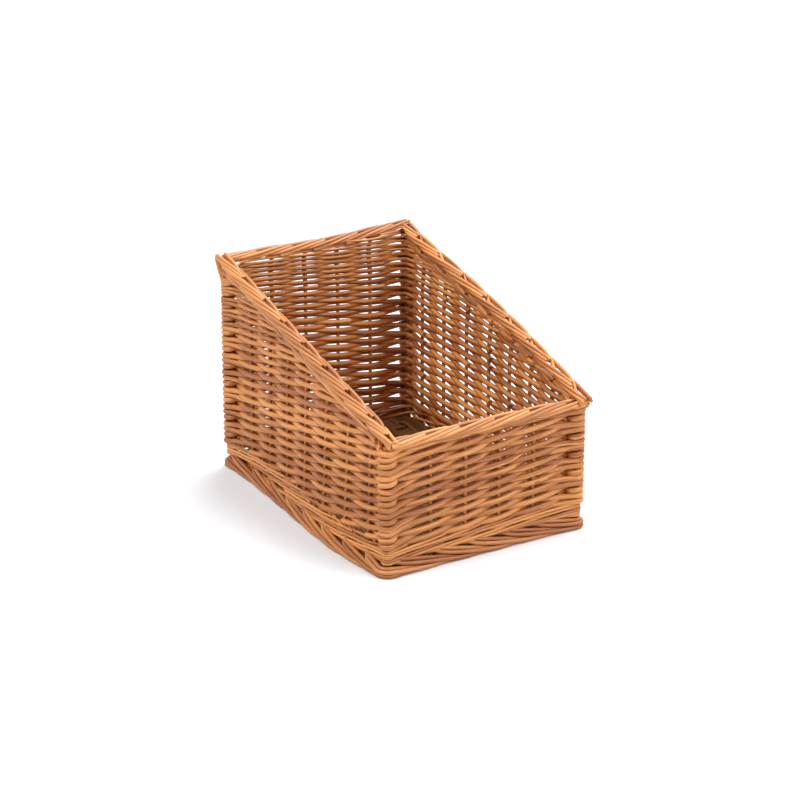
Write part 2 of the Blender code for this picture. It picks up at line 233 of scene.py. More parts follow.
def rod_finish_group():
    """Peeled willow: tone from rod to rod, streaks along it, bud scars, fine bark lines."""
    inputs = {"Pale": "Color", "Deep": "Color", "Knot": "Color", "Tone shift": "Float"}
    outputs = {"Color": "Color", "Roughness": "Float", "Height": "Float"}
    group, given, result = new_tree("Peeled willow", "ShaderNodeTree", inputs, outputs)
    tone = add_node(group, "ShaderNodeAttribute", attribute_name="rod_tone")["Fac"]
    grain = add_node(group, "ShaderNodeAttribute", attribute_name="rod_grain")["Vector"]
    blotch = marks(group, grain, BLOTCH_GRAIN, 3.0)
    streak = marks(group, grain, STREAK_GRAIN, 4.0)
    fibre = marks(group, grain, FIBRE_GRAIN, 3.0)
    scar = marks(group, grain, SCAR_GRAIN, 1.0)

    shade = weighted_sum(group, given["Tone shift"], (tone, TONE_SHARE),
                         (blotch, BLOTCH_SHARE), (streak, STREAK_SHARE))
    shade = math_node(group, "SUBTRACT", shade, DEEPEST, clamp=True)
    colour = mix_colour(group, shade, given["Deep"], given["Pale"])
    colour = stain(group, colour, given["Deep"], fibre, low=0.35, high=0.70, strength=0.34)
    colour = stain(group, colour, given["Knot"], scar, low=0.70, high=0.78, strength=0.55)
    made = {"Color": colour, "Roughness": weighted_sum(group, 0.22, (fibre, 0.36)),
            "Height": weighted_sum(group, 0.0, (fibre, 0.4), (streak, 0.6))}
    for label, value in made.items():
        group.links.new(value, result[label])
    return group


def willow(context, name, tone_shift, coat=0.15, shade=1.0):
    """The named willow material, made on first use. The shade darkens its colours; below 1 it is
    painted shade, for rods that lie in shadow inside the basket.
    """
    if name in bpy.data.materials:
        return bpy.data.materials[name]
    colours = context.scene.basket_colours
    material = bpy.data.materials.new(name)
    material.use_nodes = True
    material.diffuse_color = rgba(colours.willow_pale)
    tree = material.node_tree
    values = {"Pale": rgba(colours.willow_pale, shade), "Deep": rgba(colours.willow_deep, shade),
              "Knot": rgba(colours.knot), "Tone shift": tone_shift}
    group = bpy.data.node_groups.get("Peeled willow") or rod_finish_group()
    finish = add_node(tree, "ShaderNodeGroup", values, node_tree=group)
    values = {"Height": finish["Height"], "Strength": 0.6, "Distance": 0.0004}
    bump = add_node(tree, "ShaderNodeBump", values)
    fill_inputs(tree, tree.nodes["Principled BSDF"], {
        "Base Color": finish["Color"], "Roughness": finish["Roughness"],
        "Normal": bump["Normal"], "Coat Weight": coat, "Coat Roughness": 0.24,
        "Specular IOR Level": 0.35})
    return material


# The tree that turns paths into rods

# The waver's bends to a metre, how far apart the grains of two rods may lie, and the angle
# in radians from which an edge is a cut end's
WAVER_SCALE = 28.0
GRAIN_APART = 40.0
SHARP_ANGLE = 1.0


def capture(tree, geometry, value, kind, name, domain="POINT"):
    """The geometry with a value captured on it, and the value to use later."""
    node = tree.nodes.new("GeometryNodeCaptureAttribute")
    node.domain = domain
    node.capture_items.new(kind, name)
    fill_inputs(tree, node, {"Geometry": geometry, 1: value})
    return node.outputs[0], node.outputs[1]


def rod_tree():
    """Node tree: smooth each path, let it waver, sweep a round rod and give it a tone."""
    if "Rods along paths" in bpy.data.node_groups:
        return bpy.data.node_groups["Rods along paths"]
    inputs = {"Paths": "Geometry", "Radius": "Float", "Sides": "Int", "Steps": "Int",
              "Waver": "Float", "Seed": "Int", "Finish": "Material"}
    tree, given, result = new_tree("Rods along paths", "GeometryNodeTree", inputs,
                                   {"Rods": "Geometry"})

    def add(kind, values=None, **settings):
        return add_node(tree, kind, values, **settings)

    smooth = add("GeometryNodeCurveSplineType", {"Curve": given["Paths"]},
                 spline_type="CATMULL_ROM")["Curve"]
    path = add("GeometryNodeSetSplineResolution", {0: smooth, "Resolution": given["Steps"]})[0]

    place = add("GeometryNodeInputPosition")[0]
    values = {"Vector": place, "W": given["Seed"], "Scale": WAVER_SCALE, "Detail": 1.0}
    noise = add("ShaderNodeTexNoise", values, noise_dimensions="4D")["Color"]
    sway = vector_node(tree, "SUBTRACT", {0: noise, 1: (0.5, 0.5, 0.5)})
    sway = vector_node(tree, "SCALE", {0: sway, "Scale": given["Waver"]})
    path = add("GeometryNodeSetPosition", {"Geometry": path, "Offset": sway})[0]

    tone = add("FunctionNodeRandomValue", {"Seed": given["Seed"]})[1]
    path, tone = capture(tree, path, tone, "FLOAT", "tone", "CURVE")
    run = add("GeometryNodeSplineParameter")["Length"]
    path, run = capture(tree, path, run, "FLOAT", "run")

    values = {"Resolution": given["Sides"], "Radius": given["Radius"]}
    ring = add("GeometryNodeCurvePrimitiveCircle", values)["Curve"]
    side = vector_node(tree, "NORMALIZE", {0: add("GeometryNodeInputPosition")[0]})
    ring, side = capture(tree, ring, side, "VECTOR", "side")
    girth = add("GeometryNodeInputRadius")[0]
    values = {"Curve": path, "Profile Curve": ring, "Scale": girth, "Fill Caps": True}
    rods = add("GeometryNodeCurveToMesh", values)[0]

    # Grain coordinates: round the rod in X and Y, along it in Z, apart for each rod
    parts = add("ShaderNodeSeparateXYZ", {0: side})
    along = weighted_sum(tree, run, (tone, GRAIN_APART))
    grain = add("ShaderNodeCombineXYZ", {"X": parts["X"], "Y": parts["Y"], "Z": along})[0]
    for name, kind, value in (("rod_grain", "FLOAT_VECTOR", grain), ("rod_tone", "FLOAT", tone)):
        values = {"Geometry": rods, "Name": name, "Value": value}
        rods = add("GeometryNodeStoreNamedAttribute", values, data_type=kind)[0]

    # Cut ends keep a sharp edge
    angle = add("GeometryNodeInputMeshEdgeAngle")["Unsigned Angle"]
    is_sharp = add("FunctionNodeCompare", {"A": angle, "B": SHARP_ANGLE})[0]
    values = {"Geometry": rods, "Selection": is_sharp, "Shade Smooth": False}
    rods = add("GeometryNodeSetShadeSmooth", values, domain="EDGE")[0]
    rods = add("GeometryNodeSetMaterial", {"Geometry": rods, "Material": given["Finish"]})[0]
    rods = add("GeometryNodeRealizeInstances", {0: rods})[0]
    tree.links.new(rods, result["Rods"])
    return tree


def sweep_rods(context, name, rods, radius, material, sides=8, steps=2, waver=0.0006):
    """One mesh of rods: each is a list of (point, girth) pairs, girth 1 is the radius."""
    curve = bpy.data.curves.new(name + "_paths", "CURVE")
    curve.dimensions = "3D"
    for rod in rods:
        spline = curve.splines.new("POLY")
        spline.points.add(len(rod) - 1)
        for point, (place, girth) in zip(spline.points, rod):
            point.co = (*place, 1.0)
            point.radius = girth
    paths = bpy.data.objects.new(name + "_paths", curve)
    context.scene.collection.objects.link(paths)
    tree = rod_tree()
    modifier = paths.modifiers.new("rods", "NODES")
    modifier.node_group = tree
    values = {"Radius": radius, "Sides": sides, "Steps": steps, "Waver": waver,
              "Seed": context.scene.basket_sizes.seed + len(name), "Finish": material}
    for socket in tree.interface.items_tree:
        if socket.name in values:
            modifier[socket.identifier] = values[socket.name]
    context.view_layer.update()
    evaluated = paths.evaluated_get(context.evaluated_depsgraph_get())
    mesh = bpy.data.meshes.new_from_object(evaluated)
    bpy.data.objects.remove(paths, do_unlink=True)
    bpy.data.curves.remove(curve)
    mesh.name = name
    if not mesh.polygons:
        raise RuntimeError(name + " came out empty")
    piece = bpy.data.objects.new(name, mesh)
    context.scene.collection.objects.link(piece)
    return piece


def finish_piece(piece, nodes):
    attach(piece, "root")
    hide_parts(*nodes)


def nodes_named(*words):
    """CAD nodes whose name holds one of the words."""
    return sorted(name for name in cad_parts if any(word in name for word in words))


# The ring of uprights

# Points in a whole turn round a post, and how much the left bow's belly leans to the front
ARC_STEPS = 12
BOW_LEAN = 2.2


def clamped(share):
    return min(max(share, 0.0), 1.0)


def make_uprights(sizes, corner_outset):
    """The uprights in the order the weavers pass them, from the front left post."""
    half_width = sizes.post_span_width / 2
    half_depth = sizes.post_span_depth / 2
    facings = [Vector(way) for way in ((0, -1, 0), (1, 0, 0), (0, 1, 0), (-1, 0, 0))]
    ring = []
    for wall, facing in enumerate(facings):
        before = facings[wall - 1]
        places = []
        for share in (-1, *(SIDE_SHARES if wall % 2 else FRONT_SHARES)):
            places.append(Vector(((facing.x - share * facing.y) * half_width,
                                  (facing.y + share * facing.x) * half_depth, 0)))
        corner = places[0] + (before + facing) * corner_outset
        ring.append(Upright(corner, before, facing, True))
        ring.extend(Upright(place, facing, facing, False) for place in places[1:])
    return ring


class Ring:
    """The ring of uprights, walked by a number that grows by one from each to the next."""

    def __init__(self, sizes, corner_outset=0.0):
        self.sizes = sizes
        self.uprights = make_uprights(sizes, corner_outset)
        self.count = len(self.uprights)

    def upright(self, index):
        return self.uprights[index % self.count]

    def is_corner(self, place):
        return place == math.floor(place) and self.upright(int(place)).corner

    def bow(self, point, side, height):
        """How far a side bellies out: the left one at its foot alone, most in its front."""
        half = self.sizes.post_span_depth / 2
        share = clamped((half - point.y) / (2 * half))
        if side > 0:
            return self.sizes.right_bow * math.sin(math.pi * share)
        low = max(0.0, 1 - height / self.rim(point, side))
        return self.sizes.left_bow * low * math.sin(math.pi * share ** BOW_LEAN)

    def lay(self, place, out, height):
        """Point at a place along the ring, so far outside the stake line, so high."""
        first = int(math.floor(place))
        start, stop = self.upright(first), self.upright(first + 1)
        point = start.place.lerp(stop.place, place - first)
        facing = start.out_on
        if abs(facing.x) > 0.5:
            out += self.bow(point, facing.x, height)
        return point + facing * out + Vector((0, 0, height))

    def rim(self, point, side=0):
        """Height of the border's top over a point of a side wall, or of an end wall."""
        sizes = self.sizes
        half = sizes.post_span_depth / 2
        share = clamped((point.y + half) / (2 * half))
        if side:
            return sizes.side_rim_front + share * (sizes.back_rim - sizes.side_rim_front)
        return sizes.front_rim if share < 0.5 else sizes.back_rim

    def rim_at(self, place):
        facing = self.upright(int(math.floor(place))).out_on
        return self.rim(self.lay(place, 0.0, 0.0), facing.x)

    def corner_arc(self, index, radius, height, turns=0, climb=0.0):
        """Points round a corner post: a quarter turn, and whole turns more if asked."""
        post = self.upright(index)
        count = ARC_STEPS // 4 + ARC_STEPS * turns
        points = []
        for step in range(count + 1):
            angle = math.tau * step / ARC_STEPS
            facing = post.out_in * math.cos(angle) + post.out_on * math.sin(angle)
            rise = climb * (step / count - 0.5)
            points.append(post.place + facing * radius + Vector((0, 0, height + rise)))
        return points

    def follow(self, stations):
        """Points of a path through (place, out, height) stations, rounding each corner."""
        points = []
        last = None
        for place, out, height in stations:
            if last is not None:
                corner = math.floor(last[0]) + 1
                if corner < place and self.is_corner(corner):
                    share = (corner - last[0]) / (place - last[0])
                    outset = last[1] + share * (out - last[1])
                    level = last[2] + share * (height - last[2])
                    points.extend(self.round_corner(corner, outset, level))
            if self.is_corner(place):
                points.extend(self.round_corner(int(place), out, height))
            else:
                points.append(self.lay(place, out, height))
            last = (place, out, height)
        return points

    def round_corner(self, index, out, height):
        if out > 0:
            return self.corner_arc(index, out, height)
        post = self.upright(index)
        return [post.place + (post.out_in + post.out_on) * out + Vector((0, 0, height))]


def tapered(rod, start, stop, wobble=None):
    """Rod points whose girth tapers from start to stop, slightly uneven with a wobble."""
    last = max(len(rod) - 1, 1)
    taper = []
    for index, (point, girth) in enumerate(rod):
        girth *= start + (stop - start) * index / last
        if wobble:
            girth *= 1 + wobble.uniform(-0.03, 0.03)
        taper.append((point, girth))
    return taper


def with_girth(points, start=1.0, stop=1.0, wobble=None):
    """Points paired with a girth that tapers from start to stop."""
    return tapered([(point, 1.0) for point in points], start, stop, wobble)


def between(table, at):
    """What a table's rows hold at a place among their first values, kept at its ends."""
    if at <= table[0][0]:
        return table[0][1:]
    for (start, *values), (stop, *later) in zip(table, table[1:]):
        if at <= stop:
            part = (at - start) / (stop - start)
            return [value + part * (end - value) for value, end in zip(values, later)]
    return table[-1][1:]


def rising(low, top):
    """Seven heights at even steps from low to top."""
    return [low + (top - low) * step / 6 for step in range(7)]


# Randed wall

WALE_TOP = 0.0345
FIRST_ROW = WALE_TOP + 0.002
# How much lower the waling's top is along the front, and how much it tips along the left
FRONT_DROP = 0.0075
LEFT_TIP = 0.002
# How far under the rim the randing ends, on the sloping sides and on the front and back
SIDE_GAP = 0.0215
END_GAP = 0.0105
# At the back right it climbs with the border, so far and over so many intervals
BACK_CLIMB = 0.0055
CLIMB_RUN = 2.5
# Weavers climb less and less above this height, at a rate that would stop them so far above
# it, and their girth tapers by this power of their climb
FINE_START = 0.155
FINE_REACH = 0.195
FINE_POWER = 0.8
# Under a sloping rim weavers crowd to this share of their climb, for so far
CROWDING = 0.25
CROWD_REACH = 0.019


def rand_low(ring, place):
    """Height at which the randing starts, on top of the waling."""
    turn = place % ring.count
    if turn >= BACK_LEFT:
        share = 1 - (turn - BACK_LEFT) / (FULL_TURN - BACK_LEFT)
        return WALE_TOP - LEFT_TIP + 2 * LEFT_TIP * share
    share = max(0.0, (turn - FRONT_RIGHT) / (BACK_LEFT - FRONT_RIGHT))
    return WALE_TOP - FRONT_DROP + FRONT_DROP * share


def is_sloping(ring, place):
    return abs(ring.upright(int(math.floor(place))).out_on.x) > 0.5


def rand_top(ring, place):
    """Height at which the randing ends: it climbs with the border at the back right."""
    if is_sloping(ring, place):
        return ring.rim_at(place) - SIDE_GAP
    climb = max(0.0, 1 - abs(place % ring.count - BACK_RIGHT) / CLIMB_RUN)
    return ring.rim_at(place) - END_GAP + BACK_CLIMB * climb


class Weaver:
    """A weaver's heights along the ring: it climbs, and bends to run under a sloping rim."""

    def __init__(self, ring, start):
        self.ring = ring
        self.start = start

    def climb(self, place):
        """Height that it would have at its full climb."""
        return FIRST_ROW + self.ring.sizes.row_rise * (place - self.start)

    def fineness(self, place):
        """Share of its full climb that the weaver has at a place."""
        return math.exp(-max(self.climb(place) - FINE_START, 0.0) / FINE_REACH)

    def level(self, place):
        """Height that it has where no sloping rim bends it."""
        climb = self.climb(place)
        if climb <= FINE_START:
            return climb
        return FINE_START + FINE_REACH * (1 - self.fineness(place))

    def rise(self, place):
        return self.ring.sizes.row_rise * self.fineness(place)

    def girth(self, place):
        return self.fineness(place) ** FINE_POWER

    def reach(self, place):
        """How far the weaver stands off the stake line where it passes an upright."""
        sizes = self.ring.sizes
        return sizes.press * (sizes.stake_radius + sizes.weaver_radius * self.girth(place))

    def height(self, place):
        level = self.level(place)
        if is_sloping(self.ring, place):
            top = rand_top(self.ring, place)
            level = min(level, top + CROWDING * max(level - top, 0.0))
        return level

    def is_outside(self, index):
        return (index - self.start) % 2 == 0

    def wraps(self, index):
        """Whether the weaver goes right round the corner post at an index."""
        outer_pass = (index - self.start) // 2
        return self.ring.is_corner(index) and self.is_outside(index) and outer_pass % 2 == 1

    def is_in_wall(self, index):
        spare = CROWD_REACH if is_sloping(self.ring, index) else 0.0
        level = self.level(index)
        return rand_low(self.ring, index) <= level <= rand_top(self.ring, index) + spare


# A weaver that goes right round a post climbs so many of its rises there. Outside a post it
# is so much broader, and inside it lies at this place
WRAP_CLIMB = 5 / 3
BROADENED = 1.12
INSIDE_POST = -0.0060
# Shares of its stand-off a quarter of the way between uprights, and inside near a post
QUARTER_REACH = 0.74
NEAR_POST_REACH = 1.3


def pass_post(weaver, index, shift):
    """Rod points of a weaver where it passes a corner post."""
    ring = weaver.ring
    height = weaver.height(index) + shift
    girth = weaver.girth(index)
    if not weaver.is_outside(index):
        return [(point, girth) for point in ring.round_corner(index, INSIDE_POST, height)]
    radius = ring.sizes.post_radius + ring.sizes.weaver_radius * BROADENED
    turns = 1 if weaver.wraps(index) else 0
    climb = turns * weaver.rise(index) * WRAP_CLIMB
    points = ring.corner_arc(index, radius, height, turns, climb)
    return [(point, BROADENED * girth) for point in points]


def cross_interval(weaver, index, shift):
    """Rod points of a weaver between an upright and the next."""
    ring = weaver.ring
    half_wrap = weaver.rise(index) * WRAP_CLIMB / 2
    leave = weaver.height(index) + (half_wrap if weaver.wraps(index) else 0.0)
    meet = weaver.height(index + 1 - HAIR) - (half_wrap if weaver.wraps(index + 1) else 0.0)
    side = 1 if weaver.is_outside(index) else -1
    points = []
    for share, swing, near in ((0.25, side, index), (0.5, 0, index), (0.75, -side, index + 1)):
        out = swing * QUARTER_REACH * weaver.reach(index)
        if swing < 0 and ring.is_corner(near):
            out *= NEAR_POST_REACH
        height = leave + (meet - leave) * share + shift
        points.append((ring.lay(index + share, out, height), weaver.girth(index)))
    return points


# Intervals that a weaver's first rod runs and that its later ones run, at least and at most
FIRST_RUN = (9, 26)
NEXT_RUN = (16, 26)
# Rods lie up to this much off their row. A new one starts so far back and so far inside
ROW_SHIFT = 0.0005
START_BACK = 0.3
START_INSIDE = 0.003
# The fewest points of a rod, and turns enough for a weaver to reach the top
LEAST_POINTS = 5
WEAVER_TURNS = 3


def weaver_runs(ring, start, chance):
    """The rods of one weaver, each a list of points with girth, ended on the inside."""
    weaver = Weaver(ring, start)
    runs = []
    points = []
    length = chance.randint(*FIRST_RUN)
    shift = chance.uniform(-ROW_SHIFT, ROW_SHIFT)
    for index in range(start - 1, start + WEAVER_TURNS * ring.count):
        if not weaver.is_in_wall(index):
            runs.append(points)
            points = []
            continue
        reach = weaver.reach(index)
        height = weaver.height(index)
        if ring.is_corner(index):
            points.extend(pass_post(weaver, index, shift))
        else:
            out = reach if weaver.is_outside(index) else -reach
            points.append((ring.lay(index, out, height + shift), weaver.girth(index)))
        crossing = cross_interval(weaver, index, shift)
        length -= 1
        if length <= 0 and not weaver.is_outside(index) and not ring.is_corner(index):
            runs.append(points + crossing[:1])
            before = ring.lay(index - START_BACK, -reach - START_INSIDE, height)
            points = [(before, points[-1][1]), points[-1]]
            length = chance.randint(*NEXT_RUN)
            shift = chance.uniform(-ROW_SHIFT, ROW_SHIFT)
        points.extend(crossing)
    runs.append(points)
    return [run for run in runs if len(run) >= LEAST_POINTS]


def middle_height(rod):
    """Height of the point halfway along a rod."""
    return rod[len(rod) // 2][0].z


class BASKET_OT_randing(bpy.types.Operator):
    """Weave the four walls: one weaver for each upright, all climbing together"""

    bl_idname = "basket.randing"
    bl_label = "Weave the walls"

    def execute(self, context):
        sizes = context.scene.basket_sizes
        ring = Ring(sizes, sizes.corner_outset)
        chance = random.Random(sizes.seed)
        rods = []
        for start in range(-ring.count, ring.count):
            for run in weaver_runs(ring, start, chance):
                butt = chance.uniform(1.0, 1.1)
                tip = butt - chance.uniform(0.08, 0.2)
                rods.append(tapered(run, butt, tip, chance))
        rods.sort(key=middle_height)
        half = len(rods) // 2
        material = willow(context, "peeled_weaver", tone_shift=0.02)
        for name, group in (("lower_weavers", rods[:half]), ("upper_weavers", rods[half:])):
            piece = sweep_rods(context, name, group, sizes.weaver_radius, material)
            finish_piece(piece, nodes_named("_randing"))
        return {"FINISHED"}


# Waling

# A wale rod's way past four uprights: shares of its stand-off and of its lift, at each
# upright and midway to the next
WALE_COURSE = (
    (1.0, -0.50, 1.25, -0.32),
    (1.3, -0.12, 1.15, 0.10),
    (1.0, 0.32, 0.0, 0.40),
    (-1.0, 0.10, 0.0, -0.36),
)
# The low waling's middle where it starts, its climb in a turn, and its turns
WALE_LOW = 0.0167
WALE_ROW = 0.0085
WALE_TURNS = 2.3
# How far under a sloping rim the top waling's middle lies
TOP_WALE_DROP = 0.0195
# How far a rod lifts on its way, in the low waling and in the top one
WALE_LIFT = 0.0078
TOP_WALE_LIFT = 0.7 * WALE_LIFT
WALE_UNEVEN = 0.0006
WALE_INSIDE_POST = -0.0075


def wale_level(ring, place, rim_end):
    """Middle height of the low waling, or of the top one under the rim up to rim_end."""
    if rim_end:
        return ring.rim_at(min(place, rim_end - HAIR)) - TOP_WALE_DROP
    return WALE_LOW + WALE_ROW * (place - BACK_LEFT) / ring.count


def wale_rod(ring, lead, first, last, lift, chance, rim_end=None):
    """A rod that passes outside three uprights, rising all the way, and inside one."""
    sizes = ring.sizes
    reach = sizes.stake_radius + sizes.wale_radius
    stations = []
    for index in range(first, last):
        out, up, next_out, next_up = WALE_COURSE[(index - lead) % len(WALE_COURSE)]
        stand_off = out * reach
        if ring.is_corner(index):
            stand_off = WALE_INSIDE_POST if out < 0 else sizes.post_radius + sizes.wale_radius
        uneven = chance.uniform(-WALE_UNEVEN, WALE_UNEVEN)
        level = wale_level(ring, index, rim_end)
        stations.append((index, stand_off, level + up * lift + uneven))
        level = wale_level(ring, index + 0.5, rim_end)
        stations.append((index + 0.5, next_out * reach, level + next_up * lift + uneven))
    return ring.follow(stations)


class BASKET_OT_waling(bpy.types.Operator):
    """Lay the fine waling rods above the foot and under the border"""

    bl_idname = "basket.waling"
    bl_label = "Lay the waling"

    def execute(self, context):
        sizes = context.scene.basket_sizes
        ring = Ring(sizes, sizes.corner_outset)
        chance = random.Random(sizes.seed + 1)
        rods = []
        for lead in range(len(WALE_COURSE)):
            first = BACK_LEFT + lead
            last = first + int(WALE_TURNS * ring.count) - 2 * lead
            points = wale_rod(ring, lead, first, last, WALE_LIFT, chance)
            rods.append(with_girth(points, 1.1, 0.85, chance))
        for first, last in ((FRONT_RIGHT, BACK_RIGHT), (BACK_LEFT, FULL_TURN)):
            for lead in range(len(WALE_COURSE)):
                points = wale_rod(ring, lead, first, last, TOP_WALE_LIFT, chance, last)
                rods.append(with_girth(points, 1.15, 1.05, chance))
        material = willow(context, "peeled_wale", tone_shift=0.05)
        piece = sweep_rods(context, "waling", rods, sizes.wale_radius, material)
        finish_piece(piece, nodes_named("_waling"))
        return {"FINISHED"}


# Uprights and border

# A border rod's way through its bundle: intervals from its upright, then shares of the
# bundle's half width (towards the side its stroke starts from) and half height
ROD_COURSE = (
    (0.28, -0.72, -0.75),
    (0.42, -0.92, -0.30),
    (0.60, -0.97, 0.00),
    (0.85, -0.99, 0.20),
    (1.15, -0.98, 0.32),
    (1.45, -0.86, 0.34),
    (1.66, -0.48, 0.06),
    (1.86, 0.12, -0.36),
    (2.08, 0.72, -0.62),
    (2.35, 0.98, -0.34),
    (2.75, 1.00, 0.16),
    (3.20, 0.74, 0.68),
    (3.60, 0.30, 0.90),
    (4.00, -0.26, 0.66),
)
# A border whose start passes its upright by more than this starts in the knot at the back left
TUCK = 0.006

# Each wall's border in the ring's numbers: which way it runs, the side its strokes start
# from (1 outside, -1 inside), how many intervals a rod runs, and its two ends
Edge = namedtuple("Edge", "name first last run side reach start stop")
# An end of a border: how far it passes its upright, its middle's distance outside the stake
# line, the share of its girth that it keeps, its rise there and how far along that fades
End = namedtuple("End", "past out girth rise fade")
EDGES = (
    Edge("front", FRONT_LEFT, FRONT_RIGHT, 1, 1, 3.80,
         End(0.002, 0.0045, 0.9, 0.0, 0.1), End(0.0155, 0.0045, 0.9, -0.001, 0.05)),
    Edge("right", FRONT_RIGHT, BACK_RIGHT, -1, -1, 3.75,
         End(0.004, 0.0010, 0.85, 0.0045, 0.07), End(0.016, 0.0085, 1.0, 0.0, 0.1)),
    Edge("back", BACK_RIGHT, BACK_LEFT, -1, -1, 3.75,
         End(TUCK, 0.0080, 0.7, 0.0035, 0.2), End(0.0085, 0.0105, 0.75, 0.0072, 0.14)),
    Edge("left", BACK_LEFT, FULL_TURN, 1, 1, 3.98,
         End(0.0095, 0.0092, 0.92, 0.0040, 0.3), End(0.013, 0.0, 0.85, -0.003, 0.06)),
)
# Intervals over which a bundle narrows towards its ends
PINCH_RUN = 0.8
# How far the rods of a pair lie to each side of their way, in radii
PAIR_SHARE = 0.9
# The least share of the bundle's half size that a pair's spacing is worked out with
LEAST_OFF = 0.4
# Points of a rod to an interval, and how near its ends none is set
TICKS = 5
TICK_CLEARANCE = 0.06
# A stake's lower end, how far under the rim it bends over, and how far it leans there
STAKE_FOOT = 0.012
BEND_DROP = 0.021
STAKE_LEAN = 0.0045
# Intervals from its upright at which a stake joins the bundle, and the shortest rod's length
BEND_RUN = 0.30
SHORTEST = 0.15
# The first rod laid in, counted from a border's first upright, and how far past the last
# one an end gets a point of its own
FIRST_LAID_IN = -3
LEAST_PAST = 0.05
# Offsets of a left border rod's end inside the wall and of its way up, from its knot
KNOB_DROPS = (Vector((0.0072, -0.0090, -0.040)), Vector((0.0034, -0.0044, -0.023)),
              Vector((0.0009, -0.0012, -0.008)))


def edge_run(ring, edge):
    """Vector of one interval along an edge's border, in the way it runs."""
    step = ring.upright(edge.last).place - ring.upright(edge.first).place
    return step * edge.run / (edge.last - edge.first)


def kept_girth(edge, along):
    """Share of its girth that an edge's bundle has at a place: it narrows near its ends."""
    kept = 1.0
    for end, away in ((edge.start, along), (edge.stop, edge.last - edge.first - along)):
        kept *= end.girth + (1 - end.girth) * clamped(away / PINCH_RUN)
    return kept


def end_rise(edge, share, length):
    """How far an edge's ends lift its border at a share of its length."""
    rise = 0.0
    for end, distance in ((edge.start, share * length), (edge.stop, (1 - share) * length)):
        rise += end.rise * max(0.0, 1 - distance / end.fade) ** 2
    return rise


def border_point(ring, edge, along, turns, side):
    """Point on a border rod at a place along the edge's run, counted in intervals.

    The rods lie in pairs, side by side on the bundle: the side, 1 or -1, picks one.
    """
    sizes = ring.sizes
    count = edge.last - edge.first
    share_along = clamped(along / count)
    close = kept_girth(edge, along)
    across, up = between(ROD_COURSE, turns)
    apart = side * PAIR_SHARE * sizes.border_radius / max(math.hypot(across, up), LEAST_OFF)
    across, up = (across * sizes.border_spread - up * apart,
                  up * sizes.border_height + across * apart)
    out = edge.start.out + share_along * (edge.stop.out - edge.start.out)
    out += edge.side * across * close
    place = edge.first + along if edge.run > 0 else edge.last - along
    inside = min(max(place, edge.first + HAIR), edge.last - HAIR)
    height = ring.rim_at(inside) - sizes.border_height - sizes.border_radius + up * close
    height += end_rise(edge, share_along, edge_run(ring, edge).length * count)
    beyond = min(along, 0.0) + max(along - count, 0.0)
    slope = (ring.rim_at(edge.last - HAIR) - ring.rim_at(edge.first + HAIR)) / count * edge.run
    point = ring.lay(inside, out, height) + edge_run(ring, edge) * beyond
    return point + Vector((0, 0, slope * beyond))


def strand(ring, edge, number, begin, end, side):
    """Points of a border rod from one place along its edge to another."""
    ticks = [begin]
    tick = math.floor(begin * TICKS) / TICKS + 1 / TICKS
    while tick < end - TICK_CLEARANCE:
        if tick > begin + TICK_CLEARANCE:
            ticks.append(tick)
        tick += 1 / TICKS
    ticks.append(end)
    return [border_point(ring, edge, tick, tick - number, side) for tick in ticks]


def upright_points(ring, edge, number):
    """Points up a stake, from the foot to where it bends into its edge's border."""
    place = edge.first + number if edge.run > 0 else edge.last - number
    top = ring.rim_at(place if edge.run > 0 else place - HAIR) - BEND_DROP
    heights = rising(STAKE_FOOT, top)
    if ring.upright(place).corner:
        return [ring.upright(place).place + Vector((0, 0, height)) for height in heights]
    points = [ring.lay(place, 0.0, height) for height in heights]
    points[-1] = ring.lay(place, -edge.side * STAKE_LEAN, top)
    return points


def border_rod(ring, edge, number, side, chance):
    """Rod points of one rod of a pair in the border, or none where it is too short."""
    count = edge.last - edge.first
    interval = edge_run(ring, edge).length
    begin = number + BEND_RUN if number >= first_bend(edge) else -edge.start.past / interval
    end = min(number + edge.reach - chance.uniform(0.0, 0.12),
              count + edge.stop.past / interval)
    if end < begin + SHORTEST:
        return []
    points = strand(ring, edge, number, max(begin, 0.0), min(end, count), side)
    if begin < 0:
        short = begin * chance.uniform(0.9, 1.0)
        first = border_point(ring, edge, short, short - number, side)
        points.insert(0, first)
        if edge.start.past > TUCK:
            points[:0] = [first + drop for drop in KNOB_DROPS]
    if end > count + LEAST_PAST:
        far = count + (end - count) * chance.uniform(0.93, 1.0)
        points.append(border_point(ring, edge, far, far - number, side))
    girth = chance.uniform(0.94, 1.1)
    return with_girth(points, girth, girth - chance.uniform(0.06, 0.14))


def first_bend(edge):
    """Number of the first upright that bends into an edge's border."""
    return 0 if edge.start.past > TUCK else 1


def border_rods(ring, edge, chance):
    """The uprights of a wall, each bent over into the border, and the rods laid in."""
    sizes = ring.sizes
    thick = sizes.stake_radius / sizes.border_radius
    rods = []
    for number in range(FIRST_LAID_IN, edge.last - edge.first):
        for side in (1, -1):
            rod = border_rod(ring, edge, number, side, chance)
            if rod and number >= first_bend(edge):
                points = upright_points(ring, edge, number)
                if side > 0:
                    rod = with_girth(points, thick, thick) + rod
                else:
                    beside = edge_run(ring, edge).normalized() * PAIR_SHARE * sizes.border_radius
                    rod = with_girth([point + beside for point in points[-2:]]) + rod
            if rod:
                rods.append(rod)
    return rods


